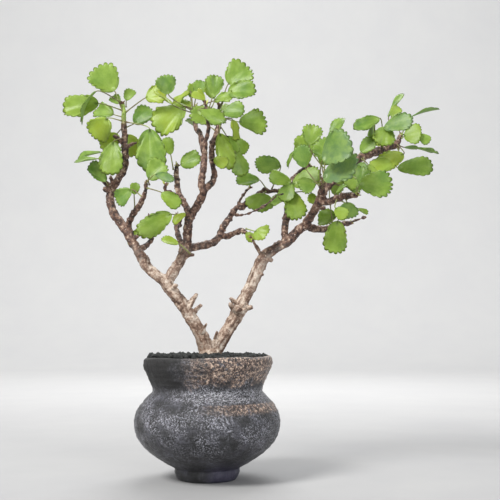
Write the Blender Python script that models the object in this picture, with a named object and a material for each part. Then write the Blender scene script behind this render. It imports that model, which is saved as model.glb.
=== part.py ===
"""A small woody succulent with fan-shaped leaves, grown as a bonsai in a dark stoneware pot.

Metres, +Z up. The origin is the centre of the pot's flat foot, and the plant's front faces -Y.
The plant is drawn from its collar, the point where the trunk leaves the gravel.
"""

import math

import bmesh
import bpy
import numpy as np
from mathutils import Vector

MM = 0.001
GAP = 0.3 * MM  # clearance between two pieces that touch

# Pot
POT_HEIGHT = 74.5 * MM
FOOT_RADIUS = 20 * MM
FOOT_HEIGHT = 6 * MM
BELLY_RADIUS = 45 * MM
BELLY_HEIGHT = 34.5 * MM
NECK_RADIUS = 33.5 * MM
NECK_HEIGHT = 53 * MM
RIM_RADIUS = 39.3 * MM
RIM_BAND = 6 * MM  # upright band at the top of the flared rim
WALL = 5 * MM
FLOOR = 9 * MM
DRAIN_HOLE_RADIUS = 3 * MM
DRAIN_HOLE_CIRCLE = 9 * MM
DRAIN_HOLES = 3
POT_SIDES = 36

# Filling
MESH_RADIUS = 15 * MM
MESH_THICKNESS = 1 * MM
GRAVEL_DEPTH = 8 * MM
GRAVEL_MOUND = 1.5 * MM  # rise of the gravel from the rim to the trunk
GRAVEL_BELOW_LIP = 2 * MM

# Plant
TREE_HEIGHT = 161 * MM  # from the collar to the highest wood
WOOD_GIRTH = 1.0  # multiplies every wood radius
LEAF_SIZE = 1.03  # multiplies every blade
LEAF_BREADTH = 1.12  # multiplies every blade's width once more
LEAF_THICKNESS = 0.7 * MM
LEAF_FOLD = math.radians(14)  # rise of each half of a blade from its midrib
LEAF_DROOP = 0.12  # how far a tip bends down, as a share of its blade
STALK_RADIUS = 0.55 * MM
COLLAR_X = 1.5 * MM  # the trunk stands a little right of the pot's centre
COLLAR_RADIUS = 7.2 * MM
COLLAR_RISE = 4 * MM  # the trunks part from the collar within this height
ROOT_RADIUS = 5 * MM
ROOT_TIP_RADIUS = 2 * MM
ROOT_DEPTH = 38 * MM
WOOD_SIDES = 8
WOOD_STEP = 5 * MM  # length of one segment of wood
STUB_SIDES = 6

COLLAR_Z = POT_HEIGHT - GRAVEL_BELOW_LIP + GRAVEL_MOUND
GRAVEL_BOTTOM = COLLAR_Z - GRAVEL_MOUND - GRAVEL_DEPTH
DRAWN = TREE_HEIGHT / 161  # the plant below is drawn in millimetres, 161 of them tall

# Wood as it grows: x, y, z and radius from the collar.
WOOD = {
    "left_trunk": [(0, 0, 2, 5.2), (-1, 0, 5, 5.1), (-4, -1, 12, 4.2), (-8, -2, 20, 4.0),
                   (-12, -3, 26, 3.8), (-17, -4, 34, 3.9), (-23, -5, 41, 3.8), (-27, -5, 47, 3.4)],
    "left_limb": [(-25, -5, 44, 3.4), (-30, -5, 49, 3.4), (-36, -4, 53, 3.2), (-40, -3, 58, 3.1),
                  (-42, -2, 63, 3.1), (-47, 0, 70, 2.8), (-52, 2, 79, 3.0), (-59, 4, 88, 2.8),
                  (-62, 6, 95, 2.7), (-63, 8, 103, 2.8), (-61, 9, 108, 2.5), (-57, 9, 114, 2.4),
                  (-54, 9, 120, 2.4), (-54, 9, 134, 2.0), (-55, 9, 147, 1.8), (-55, 9, 155, 1.6),
                  (-56, 9, 161, 1.2)],
    "left_inner_twig": [(-48, 1, 74, 2.2), (-50, 0, 82, 2.0), (-46, -6, 88, 1.8), (-41, -13, 93, 1.7),
                        (-38, -18, 97, 1.5), (-37, -21, 100, 1.3), (-36, -23, 104, 1.1)],
    "left_back_twig": [(-43, 0, 66, 2.0), (-40, 6, 69, 1.8), (-37, 11, 73, 1.6), (-37, 15, 79, 1.4),
                       (-39, 20, 89, 0.9)],
    "middle_limb": [(-25, -5, 45, 3.2), (-21, -4, 53, 3.3), (-17, -2, 59, 3.4), (-15, 0, 66, 3.3),
                    (-13, -1, 72, 2.9), (-13, -3, 77, 2.8), (-12, -5, 83, 2.7), (-11, -6, 88, 2.6)],
    "burr_twig": [(-15, 1, 65, 2.2), (-20, 10, 77, 1.7), (-21, 16, 84, 1.8), (-21, 20, 90, 2.3)],
    "middle_left_twig": [(-11, -6, 86, 2.3), (-13, -3, 91, 2.1), (-16, 0, 97, 2.0), (-19, 3, 102, 1.9),
                         (-20, 6, 108, 1.7), (-21, 9, 115, 1.7), (-21, 11, 121, 1.4)],
    "hooked_twig": [(-19, 2, 100, 1.4), (-23, -4, 101, 1.2), (-27, -9, 102, 1.2), (-26, -10, 105, 0.9)],
    "crown_fork": [(-11, -6, 86, 2.6), (-8, -8, 91, 2.6), (-4, -12, 96, 2.6), (-2, -15, 102, 2.4)],
    "crown_left_twig": [(-2, -15, 100, 2.2), (-4, -16, 105, 2.3), (-3, -17, 110, 2.3),
                        (-2, -16, 118, 2.1), (-2, -15, 123, 2.0), (-3, -12, 130, 1.9),
                        (-5, -8, 137, 1.7), (-8, -4, 143, 1.6), (-9, 1, 151, 1.3), (-9, 5, 158, 1.0)],
    "crown_front_twig": [(-2, -15, 122, 1.7), (-1, -19, 131, 1.5), (1, -22, 136, 1.4),
                         (0, -25, 144, 1.2), (-1, -27, 152, 0.9)],
    "crown_right_twig": [(-2, -15, 101, 2.1), (3, -12, 107, 2.0), (4, -9, 112, 1.8), (3, -6, 117, 1.8),
                         (2, -3, 124, 1.8), (2, 0, 132, 1.8), (4, 3, 139, 1.6), (6, 6, 146, 1.7),
                         (6, 9, 154, 1.3), (6, 12, 161, 1.0)],
    "low_limb": [(-15, 0, 65, 2.8), (-10, 4, 68, 2.6), (-2, 9, 70, 2.5), (4, 13, 73, 2.5),
                 (7, 16, 77, 2.4), (8, 17, 82, 2.2), (12, 19, 87, 2.1), (15, 21, 93, 2.0),
                 (18, 23, 96, 1.9), (22, 25, 98, 1.8), (29, 28, 103, 1.6), (34, 30, 108, 1.7),
                 (39, 32, 108, 1.5), (44, 34, 109, 1.2)],
    "low_stub": [(6, 15, 76, 2.0), (11, 13, 76, 1.9), (16, 10, 77, 1.7), (20, 6, 79, 1.8),
                 (24, 3, 77, 1.5)],
    "bare_twig": [(17, 22, 94, 1.0), (19, 25, 100, 0.8), (22, 29, 106, 0.8), (26, 33, 111, 0.6)],
    "thin_twig": [(14, 20, 91, 0.9), (18, 17, 90, 0.8), (24, 12, 90, 0.7), (30, 8, 92, 0.7),
                  (38, 4, 96, 0.6), (42, 1, 100, 0.6), (47, -2, 101, 0.5)],
    "right_trunk": [(3, 1, 2, 4.8), (6, 2, 7, 4.7), (12, 4, 16, 4.0), (16, 5, 22, 4.2),
                    (19, 5, 28, 4.8), (23, 6, 37, 3.7), (29, 6, 49, 4.0), (33, 6, 59, 4.0),
                    (37, 5, 64, 3.6), (43, 4, 68, 3.1), (49, 3, 71, 3.0), (57, 2, 79, 2.9),
                    (63, 1, 83, 2.6)],
    "curled_twig": [(33, 5, 63, 1.3), (30, 0, 68, 1.0), (28, -4, 71, 0.9), (27, -7, 73, 0.7)],
    "right_inner_twig": [(48, 3, 70, 2.3), (48, 8, 79, 2.2), (50, 14, 93, 2.2), (52, 16, 103, 1.9),
                         (53, 18, 112, 1.7), (58, 20, 118, 1.7), (65, 22, 123, 2.0)],
    "right_front_twig": [(60, 1, 80, 2.7), (64, -5, 87, 2.6), (67, -12, 92, 2.6), (69, -18, 96, 2.4),
                         (69, -24, 100, 2.0), (69, -30, 104, 1.5)],
    "far_right_limb": [(68, -16, 95, 2.2), (71, -14, 100, 2.1), (75, -11, 105, 2.2),
                       (83, -6, 114, 2.5), (92, 0, 122, 2.7), (98, 4, 126, 2.8), (106, 10, 130, 2.9),
                       (115, 16, 134, 2.6), (122, 20, 137, 2.1), (125, 23, 144, 1.5)],
    "right_low_twig": [(68, -16, 94, 2.2), (73, -20, 93, 2.3), (77, -25, 94, 2.2), (82, -31, 95, 2.1),
                       (88, -40, 94, 1.6)],
    "right_back_twig": [(61, 1, 82, 2.5), (65, 4, 80, 2.4), (69, 8, 80, 2.3), (73, 12, 80, 2.2),
                        (80, 17, 83, 1.9), (87, 22, 85, 1.8), (91, 25, 86, 1.4)],
    "whip_twig": [(89, 23, 85, 1.0), (93, 26, 87, 0.8), (103, 32, 91, 0.6)],
}

# Stubs of shed twigs: the wood they stand on, how far along it, their direction and length, radius.
STUBS = [
    ("left_trunk", 0.15, (3, -2, 4), 1.4),
    ("left_trunk", 0.48, (7, -2, 7), 1.4),
    ("left_limb", 0.13, (1, -3, 5), 1.6),
    ("left_limb", 0.29, (5, -2, 1), 1.5),
    ("left_limb", 0.58, (-7, -3, 4), 1.6),
    ("left_limb", 0.63, (1, -3, 9), 1.2),
    ("left_limb", 0.80, (-7, -2, 6), 1.4),
    ("left_limb", 0.79, (8, -4, 2), 1.1),
    ("middle_limb", 0.45, (7, -3, -1), 1.6),
    ("low_limb", 0.52, (2, -4, 4), 1.1),
    ("right_trunk", 0.06, (-1, -3, 6), 1.6),
    ("right_trunk", 0.32, (-6, -3, 6), 1.6),
    ("right_trunk", 0.31, (8, -2, 1), 1.8),
    ("right_trunk", 0.52, (5, -3, 2), 1.2),
    ("right_trunk", 0.66, (5, -2, -3), 1.8),
    ("far_right_limb", 0.62, (-5, -2, -3), 1.4),
    ("right_back_twig", 0.75, (5, -2, -5), 1.2),
]

# Leaves of each twig: how far along it the stalk grows, the stalk and the blade from base to tip,
# the blade's width, and the way that its upper side faces.
FRONT = (0, -1, 0.35)
LEAVES = {
    "left_limb": [
        (0.99, (-5, -4, 9), (-11, -3, 14), 17, FRONT),
        (0.97, (-14, -13, 1), (-20, -4, -4), 15, FRONT),
        (0.94, (-8, 7, 3), (-13, 6, 5), 10, FRONT),
        (0.92, (-11, 3, 2), (-8, 2, -12), 16, FRONT),
        (0.99, (2, 1, 4), (3, 2, 8), 7, FRONT),
        (0.89, (6, 4, 3), (10, 0, 10), 11, FRONT),
        (0.96, (15, -9, 7), (12, -4, 3), 12, FRONT),
        (0.91, (18, -11, -7), (2, -6, -25), 16, FRONT),
        (0.83, (-6, -9, -4), (-1, -6, -20), 13, FRONT),
        (0.79, (-17, 7, -2), (-15, 4, -1), 8, (0, -0.6, 0.8)),
        (0.57, (-3, -5, 4), (-9, -2, 11), 8, (-0.6, -0.6, 0.5)),
    ],
    "left_inner_twig": [
        (0.99, (1, -1, 3), (9, -2, 9), 13, FRONT),
        (0.75, (-8, 4, 6), (-9, 2, -7), 10, FRONT),
        (0.94, (10, -5, -4), (10, -3, -8), 8, FRONT),
    ],
    "left_back_twig": [
        (0.97, (-2, -2, -4), (-10, -7, -12), 6, (-0.5, -0.8, 0.5)),
    ],
    "burr_twig": [
        (0.98, (-4, -4, 1), (-18, -10, -13), 13, FRONT),
    ],
    "middle_left_twig": [
        (0.94, (-4, 1, 10), (-3, 1, 11), 7, FRONT),
        (0.98, (3, -4, 1), (11, -6, 4), 11, FRONT),
    ],
    "crown_left_twig": [
        (0.93, (-16, -11, 9), (-2, -4, 10), 11, FRONT),
        (0.90, (-13, -18, 2), (-9, -6, 7), 6, (0.4, -0.6, 0.8)),
        (0.96, (-7, -2, 2), (-16, -5, -15), 17, FRONT),
        (0.99, (-4, 4, 12), (-10, -4, -9), 6, (0.2, -0.3, 1)),
        (0.99, (-3, 5, 8), (4, 3, 9), 9, FRONT),
    ],
    "crown_right_twig": [
        (0.81, (3, -15, -1), (-18, -8, 0), 13, FRONT),
        (0.99, (6, 1, 15), (12, -2, 11), 18, FRONT),
        (0.96, (6, -3, 10), (16, -5, 1), 13, FRONT),
        (0.91, (3, -6, -1), (12, -6, 0), 11, FRONT),
        (0.86, (13, 0, -3), (17, 2, 0), 15, FRONT),
        (0.75, (1, -8, -6), (6, -6, -21), 10, FRONT),
        (0.67, (13, 9, -1), (6, 4, -8), 8, FRONT),
        (0.50, (15, 7, -1), (4, -2, -14), 10, FRONT),
    ],
    "low_limb": [
        (0.90, (-4, -1, 7), (-14, -3, 0), 10, (0, -0.8, 0.5)),
        (0.96, (5, -3, 17), (-15, -6, -1), 12, FRONT),
        (0.89, (-1, -5, -3), (-3, -5, -11), 16, FRONT),
    ],
    "low_stub": [
        (0.97, (6, -5, 0), (6, -5, -3), 11, FRONT),
    ],
    "right_inner_twig": [
        (0.98, (-1, -2, 3), (-3, -4, 16), 11, FRONT),
        (0.72, (-1, -9, -2), (-12, -7, 4), 9, FRONT),
        (0.69, (1, -9, -1), (15, -10, 5), 13, FRONT),
        (0.58, (0, -8, 1), (4, -8, -17), 12, FRONT),
    ],
    "right_front_twig": [
        (0.98, (-1, -17, 10), (12, -14, 9), 17, FRONT),
        (0.94, (0, -10, 2), (15, -17, 7), 16, FRONT),
    ],
    "right_low_twig": [
        (0.98, (2, -2, 6), (17, -4, 0), 15, FRONT),
        (0.71, (0, -1, -4), (1, 3, -9), 11, FRONT),
    ],
    "right_back_twig": [
        (0.74, (-1, -7, 1), (-3, -8, -19), 13, FRONT),
        (0.61, (3, 4, 7), (-11, 6, 0), 11, FRONT),
    ],
    "far_right_limb": [
        (0.92, (-6, -2, 17), (8, 4, 17), 6, (-0.8, -0.4, 0.4)),
        (0.99, (6, -1, 12), (17, -4, 7), 8, (-0.3, -0.2, 1)),
        (0.82, (-6, -21, 8), (14, -12, 2), 11, FRONT),
        (0.76, (-4, -14, 17), (-15, -8, -7), 8, FRONT),
        (0.78, (0, 7, 2), (-1, 4, 10), 12, FRONT),
        (0.97, (3, -2, 1), (9, -6, 1), 13, FRONT),
        (0.92, (5, 3, -2), (20, -4, -2), 9, (0.1, -0.2, 1)),
        (0.88, (1, -10, -10), (-18, -10, -8), 10, FRONT),
        (0.90, (0, -4, -16), (19, -8, 0), 12, FRONT),
    ],
}


def clear_scene():
    for obj in list(bpy.data.objects):
        bpy.data.objects.remove(obj, do_unlink=True)


def material(name, colour, roughness, metallic=0.0):
    made = bpy.data.materials.new(name)
    made.use_nodes = True
    shader = made.node_tree.nodes["Principled BSDF"]
    shader.inputs["Base Color"].default_value = (*colour, 1)
    shader.inputs["Roughness"].default_value = roughness
    shader.inputs["Metallic"].default_value = metallic
    return made


def add_object(name, vertices, faces, surface=None):
    """One closed object from lists of points and faces, turned so that its faces look out."""
    shell = bmesh.new()
    points = [shell.verts.new(v) for v in vertices]
    for face in faces:
        shell.faces.new([points[i] for i in face])
    if shell.calc_volume(signed=True) < 0:
        bmesh.ops.reverse_faces(shell, faces=shell.faces)
    mesh = bpy.data.meshes.new(name)
    shell.to_mesh(mesh)
    shell.free()
    mesh.shade_smooth()
    obj = bpy.data.objects.new(name, mesh)
    if surface:
        mesh.materials.append(surface)
    bpy.context.scene.collection.objects.link(obj)
    return obj


def loft(rings):
    """Vertices and faces of a closed body through rings with the same number of points."""
    count = len(rings[0])
    last = (len(rings) - 1) * count
    faces = [tuple(reversed(range(count))), tuple(range(last, last + count))]
    for ring in range(len(rings) - 1):
        for side in range(count):
            after = (side + 1) % count
            low = ring * count
            faces.append((low + side, low + after, low + count + after, low + count + side))
    return np.concatenate(rings), faces


def turned(name, profile, surface, sides=POT_SIDES):
    """A profile of (radius, height) points turned once about Z; it starts and ends on the axis."""
    angles = np.arange(sides) * 2 * math.pi / sides
    rings = [np.column_stack([r * np.cos(angles), r * np.sin(angles), np.full(sides, z)])
             for r, z in profile]
    return add_object(name, *loft(rings), surface)


def cut(obj, cutters):
    for cutter in cutters:
        cutter.hide_render = True
        cutter.display_type = "WIRE"
        hole = obj.modifiers.new("cut " + cutter.name, "BOOLEAN")
        hole.operation = "DIFFERENCE"
        hole.solver = "EXACT"
        hole.object = cutter


def upright(name, radius, top_radius, bottom, top, x=0.0, y=0.0, sides=24):
    """A round bar or cone along Z, used for cutters."""
    obj = turned(name, [(radius, bottom), (top_radius, top)], None, sides)
    obj.location = (x, y, 0)
    return obj


def outer_radius(height):
    """Radius of the thrown pot: a full belly, a shoulder that drops to the neck and a flared rim."""
    if height <= FOOT_HEIGHT:
        return FOOT_RADIUS
    if height <= BELLY_HEIGHT:
        below = (BELLY_HEIGHT - height) / (BELLY_HEIGHT - FOOT_HEIGHT)
        return FOOT_RADIUS + (BELLY_RADIUS - FOOT_RADIUS) * (1 - below**1.5) ** (1 / 1.5)
    if height <= NECK_HEIGHT:
        above = (height - BELLY_HEIGHT) / (NECK_HEIGHT - BELLY_HEIGHT)
        return NECK_RADIUS + (BELLY_RADIUS - NECK_RADIUS) * (1 - above**1.5)
    flare_top = POT_HEIGHT - RIM_BAND
    above = min((height - NECK_HEIGHT) / (flare_top - NECK_HEIGHT), 1)
    return NECK_RADIUS + (RIM_RADIUS - NECK_RADIUS) * above**1.15


def inner_radius(height):
    return outer_radius(height) - WALL


def heights(low, high, steps):
    return [low + (high - low) * i / steps for i in range(steps + 1)]


def cavity_levels():
    """Heights of the rings that the pot's inside and the soil share, from the floor to the neck."""
    return heights(FLOOR + WALL / 2, BELLY_HEIGHT, 4) + heights(BELLY_HEIGHT, NECK_HEIGHT, 3)[1:]


def make_pot():
    lip = WALL / 2
    band = POT_HEIGHT - lip
    outside = [(outer_radius(0), 0)]
    outside += [(outer_radius(z), z) for z in heights(FOOT_HEIGHT, BELLY_HEIGHT, 8)]
    outside += [(outer_radius(z), z) for z in heights(BELLY_HEIGHT, NECK_HEIGHT, 5)[1:]]
    outside += [(outer_radius(z), z) for z in heights(NECK_HEIGHT, band, 5)[1:]]
    lip_centre = RIM_RADIUS - lip
    arc = [math.radians(a) for a in (45, 90, 135)]
    rounded = [(lip_centre + lip * math.cos(a), band + lip * math.sin(a)) for a in arc]
    inside = [(inner_radius(z), z) for z in cavity_levels() + heights(NECK_HEIGHT, band, 2)[1:]]
    floor = [(inside[0][0] - WALL / 2, FLOOR)]
    pot = turned("pot", outside + rounded + inside[::-1] + floor, STONEWARE)
    drains = []
    for hole in range(DRAIN_HOLES):
        angle = math.radians(90) + hole * 2 * math.pi / DRAIN_HOLES
        x = DRAIN_HOLE_CIRCLE * math.cos(angle)
        y = DRAIN_HOLE_CIRCLE * math.sin(angle)
        drains.append(upright(f"drain_{hole}", DRAIN_HOLE_RADIUS, DRAIN_HOLE_RADIUS,
                              -FLOOR, 2 * FLOOR, x, y))
    cut(pot, drains)


def make_filling():
    """The drain mesh on the pot's floor, the soil above it and the layer of gravel on top."""
    mesh_bottom = FLOOR + GAP
    mesh_top = mesh_bottom + MESH_THICKNESS
    turned("drain_mesh", [(MESH_RADIUS, mesh_bottom), (MESH_RADIUS, mesh_top)], MESH_PLASTIC)

    soil_bottom = mesh_top + GAP
    soil_top = GRAVEL_BOTTOM - GAP
    wall_side = [(inner_radius(z) - 2 * GAP, z) for z in cavity_levels() + [soil_top]]
    soil = turned("soil", [(MESH_RADIUS, soil_bottom)] + wall_side, SOIL)
    root_top = GRAVEL_BOTTOM
    cut(soil, [upright("root_socket", ROOT_TIP_RADIUS + GAP, ROOT_RADIUS + GAP,
                       COLLAR_Z - ROOT_DEPTH - GAP, root_top, COLLAR_X)])

    edge = inner_radius(GRAVEL_BOTTOM) - 2 * GAP
    edge_top = COLLAR_Z - GRAVEL_MOUND
    top_edge = inner_radius(edge_top) - 2 * GAP
    mound = [(top_edge * (1 - s), edge_top + GRAVEL_MOUND * math.sin(s * math.pi / 2))
             for s in (0, 0.25, 0.5, 0.75)]
    gravel = turned("gravel_layer", [(edge, GRAVEL_BOTTOM)] + mound, GRAVEL)
    cut(gravel, [upright("trunk_hole", COLLAR_RADIUS + GAP, COLLAR_RADIUS + GAP,
                         GRAVEL_BOTTOM - WALL, COLLAR_Z + WALL, COLLAR_X, sides=48)])


class Growth:
    """A smooth tapering line of wood through (x, y, z, radius) points."""

    def __init__(self, rows):
        rows = np.array(rows, float) * DRAWN
        rows[:, 3] *= WOOD_GIRTH
        padded = np.vstack([2 * rows[0] - rows[1], rows, 2 * rows[-1] - rows[-2]])
        fine = []
        for i in range(len(rows) - 1):
            before, start, end, after = padded[i:i + 4]
            for t in np.linspace(0, 1, 8, endpoint=False):
                bend = 2 * start - 2 * end + (end - before + after - start) / 2
                lead = (end - before) / 2
                ease = 3 * (end - start) - 2 * lead - (after - start) / 2
                fine.append(start + lead * t + ease * t**2 + bend * t**3)
        self.fine = np.array(fine + [rows[-1]])
        steps = np.linalg.norm(np.diff(self.fine[:, :3], axis=0), axis=1)
        self.run = np.concatenate([[0], np.cumsum(steps)])

    def at(self, share):
        """Point, direction and radius at a share of the length."""
        run = share * self.run[-1]
        here = np.array([np.interp(run, self.run, self.fine[:, k]) for k in range(4)])
        ahead = [np.interp(run + MM, self.run, self.fine[:, k]) for k in range(3)]
        behind = [np.interp(run - MM, self.run, self.fine[:, k]) for k in range(3)]
        way = np.subtract(ahead, behind)
        return here[:3], way / np.linalg.norm(way), here[3]

    def rings(self, sides):
        count = max(3, math.ceil(self.run[-1] / WOOD_STEP) + 1)
        shares = np.linspace(0, 1, count)
        stations = [self.at(share) for share in shares]
        centres, ways, radii = zip(*stations)
        return swept_rings(centres, ways, radii, sides)


def swept_rings(centres, ways, radii, sides):
    """Round rings along a line, each turned as little as possible from the one before."""
    across = Vector(ways[0]).orthogonal().normalized()
    turn = np.arange(sides) * 2 * math.pi / sides
    rings = []
    for centre, way, radius in zip(centres, ways, radii):
        way = Vector(way)
        across = (across - way * across.dot(way)).normalized()
        circle = np.outer(np.cos(turn), across) + np.outer(np.sin(turn), way.cross(across))
        rings.append(np.array(centre) + radius * circle)
    return rings


def make_stem(growths):
    """The collar and root as one turned core, joined with every branch and stub into one body."""
    shoulder = GRAVEL_BOTTOM - COLLAR_Z
    core = turned("stem", [(ROOT_TIP_RADIUS, -ROOT_DEPTH), (ROOT_RADIUS, shoulder - GAP),
                           (COLLAR_RADIUS, shoulder / 2), (COLLAR_RADIUS, 0),
                           (0.85 * COLLAR_RADIUS, COLLAR_RISE)], BARK, 16)
    core.location = (COLLAR_X, 0, COLLAR_Z)
    pieces = bpy.data.collections.new("wood")
    bpy.context.scene.collection.children.link(pieces)
    tubes = [(name, growth.rings(WOOD_SIDES)) for name, growth in growths.items()]
    for number, (name, share, way, radius) in enumerate(STUBS):
        foot, _, _ = growths[name].at(share)
        reach = np.array(way) * DRAWN
        radius = radius * DRAWN * WOOD_GIRTH
        line = [foot, foot + 0.7 * reach, foot + reach]
        heading = reach / np.linalg.norm(reach)
        radii = [radius, radius, 0.7 * radius]
        tubes.append((f"stub_{number}", swept_rings(line, [heading] * 3, radii, STUB_SIDES)))
    for name, rings in tubes:
        tube = add_object("wood_" + name, *loft(rings))
        tube.location = (0, 0, COLLAR_Z)
        tube.hide_render = True
        tube.display_type = "WIRE"
        bpy.context.scene.collection.objects.unlink(tube)
        pieces.objects.link(tube)
    union = core.modifiers.new("grown together", "BOOLEAN")
    union.operation = "UNION"
    union.solver = "EXACT"
    union.operand_type = "COLLECTION"
    union.collection = pieces


def unit(vector):
    return np.asarray(vector, float) / np.linalg.norm(vector)


def blade_half(share, width):
    """Half the width of a fan-shaped blade: a wedge from the stalk, widest past the middle."""
    return width / 2 * share**0.6 * math.sqrt(1 - share**4) / 0.7


def leaf_rings(foot, stalk, blade, width, faces):
    """Six-sided rings from the stalk's foot to the blade's tip."""
    out = unit(stalk)
    along = unit(blade)
    up = unit(faces - along * np.dot(faces, along))
    side = np.cross(along, up)
    base = foot + stalk
    stalk_length = np.linalg.norm(stalk)
    blade_length = np.linalg.norm(blade)
    rings = []
    for t in (0, 0.4, 0.75):
        ease = t * t * (3 - 2 * t)
        lean = 0.5 * stalk_length * (t * (1 - t) ** 2 * out - t * t * (1 - t) * along)
        centre = foot + stalk * ease + lean
        rings.append((centre, STALK_RADIUS, STALK_RADIUS, 0, unit(out * (1 - t) + along * t)))
    for u in (0, 0.22, 0.48, 0.72, 0.9, 0.985):
        centre = base + blade * u - up * LEAF_DROOP * blade_length * u * u
        half = max(blade_half(u, width), STALK_RADIUS)
        rings.append((centre, half, LEAF_THICKNESS / 2, math.tan(LEAF_FOLD), along))
    shape = np.array([(-1, 0), (-0.5, 1), (0.5, 1), (1, 0), (0.5, -1), (-0.5, -1)])
    made = []
    for centre, half, thick, fold, way in rings:
        across = unit(side - way * np.dot(side, way))
        over = np.cross(across, way)
        lift = thick * shape[:, 1] + half * fold * np.abs(shape[:, 0])
        made.append(centre + half * np.outer(shape[:, 0], across) + np.outer(lift, over))
    return made


def make_leaves(growths):
    """One object for each leaf; its stalk stands just clear of the bark that it grows from."""
    for twig, rows in LEAVES.items():
        for number, (share, stalk, blade, width, faces) in enumerate(rows, 1):
            centre, way, radius = growths[twig].at(share)
            stalk = np.array(stalk) * DRAWN
            heading = unit(stalk)
            outward = unit(heading - way * np.dot(heading, way))
            clear = radius + GAP + STALK_RADIUS * abs(np.dot(heading, way))
            foot = centre + outward * clear
            rest = centre + stalk - foot
            blade = np.array(blade) * DRAWN * LEAF_SIZE
            breadth = width * DRAWN * LEAF_SIZE * LEAF_BREADTH
            rings = leaf_rings(foot, rest, blade, breadth, unit(faces))
            leaf = add_object(f"leaf_{twig}_{number}", *loft(rings), LEAF_GREEN)
            leaf.location = (0, 0, COLLAR_Z)


clear_scene()
STONEWARE = material("stoneware", (0.045, 0.045, 0.052), 0.5)
MESH_PLASTIC = material("mesh_plastic", (0.03, 0.03, 0.03), 0.6)
SOIL = material("soil", (0.06, 0.04, 0.028), 0.95)
GRAVEL = material("gravel", (0.03, 0.03, 0.033), 0.9)
BARK = material("bark", (0.4, 0.29, 0.22), 0.8)
LEAF_GREEN = material("leaf_green", (0.22, 0.4, 0.07), 0.5)
make_pot()
make_filling()
GROWTHS = {name: Growth(rows) for name, rows in WOOD.items()}
make_stem(GROWTHS)
make_leaves(GROWTHS)
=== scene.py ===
import bmesh
import bpy
import numpy as np
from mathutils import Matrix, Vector
from mathutils.bvhtree import BVHTree


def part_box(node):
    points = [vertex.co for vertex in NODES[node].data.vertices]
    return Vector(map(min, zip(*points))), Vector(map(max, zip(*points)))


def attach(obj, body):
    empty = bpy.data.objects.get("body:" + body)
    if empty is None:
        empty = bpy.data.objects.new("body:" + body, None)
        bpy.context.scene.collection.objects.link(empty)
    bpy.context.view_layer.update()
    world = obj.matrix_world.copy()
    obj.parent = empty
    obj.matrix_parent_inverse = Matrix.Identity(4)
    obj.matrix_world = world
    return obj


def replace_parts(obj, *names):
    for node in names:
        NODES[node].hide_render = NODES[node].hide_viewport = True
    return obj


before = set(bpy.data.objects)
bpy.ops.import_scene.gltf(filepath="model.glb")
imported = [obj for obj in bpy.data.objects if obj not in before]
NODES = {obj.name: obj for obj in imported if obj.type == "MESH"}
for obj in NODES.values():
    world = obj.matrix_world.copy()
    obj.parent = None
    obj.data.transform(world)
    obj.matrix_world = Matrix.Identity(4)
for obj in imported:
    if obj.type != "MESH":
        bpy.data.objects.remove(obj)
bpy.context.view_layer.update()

MM = 0.001  # sizes and points below are in millimetres


# ----------------------------------------
# The pot: thrown in dark stoneware and fired without a glaze, so that the iron in the clay shows
# as rust on the rim and shoulder. It has a trimmed foot, a full belly, a drawn-in neck, a flared
# rim, and three holes bored through the floor while the clay was soft.
FOOT_RADIUS, FOOT_HEIGHT = 20, 6
BELLY_RADIUS, BELLY_HEIGHT = 45, 34.5
NECK_RADIUS, NECK_HEIGHT = 33.5, 53
RIM_RADIUS, RIM_BAND, POT_HEIGHT = 39.3, 6, 74.5
WALL, FLOOR = 5, 9
DRAIN_RADIUS, DRAIN_CIRCLE = 3, 9
POT_TURNS, DENSE_HEIGHT = 252, 14  # sides, and the height below which the rings stand closer
GROOVE_HEIGHT = 47  # the line under the neck
TURNED_BELLY, TURNED_NECK = 44.3, 32.7  # radii of the outside, a little slimmer than the plain profile
TURNED_WAIST, WAIST_HEIGHT = 19.4, 7.2  # where the belly starts from the foot
TURNED_CORNER = 1.8
FOOT_LINE = [(4, 0), (12, 0), (16.4, 0), (17.4, 0.3), (18.6, 1.8), (19.6, 4.8)]  # radius, height


def waves(points, size, seed, count=28):
    """Smooth noise, mostly from -1 to 1: a sum of sines in random directions, about size apart."""
    draw = np.random.default_rng(seed)
    way = draw.normal(size=(3, count))
    pitch = size * draw.uniform(0.7, 1.5, count)
    way *= 2 * np.pi / pitch / np.linalg.norm(way, axis=0)
    return np.sin(points @ way + draw.uniform(0, 6.28, count)).sum(-1) / np.sqrt(count)


def angles(count):
    """Even steps round a circle, from 0."""
    return np.linspace(0, 2 * np.pi, count, endpoint=False)


def grid_skin(grid):
    """Points and faces of a closed tube through a (rings, sides, 3) grid. Side j joins side j + 1
    and the last joins the first; the two ends close in a fan round the mean of their ring."""
    rings, sides = grid.shape[:2]
    i, j = np.meshgrid(np.arange(rings - 1) * sides, np.arange(sides), indexing="ij")
    after = (j + 1) % sides
    quads = np.stack([i + j, i + after, i + sides + after, i + sides + j], -1).reshape(-1, 4)
    points = np.vstack([grid.reshape(-1, 3), grid[0].mean(0), grid[-1].mean(0)])
    side, last, pole = np.arange(sides), (rings - 1) * sides, rings * sides
    start = np.stack([(side + 1) % sides, side, np.full(sides, pole)], -1)
    end = np.stack([last + side, last + (side + 1) % sides, np.full(sides, pole + 1)], -1)
    return points, quads.tolist() + start.tolist() + end.tolist()


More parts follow.
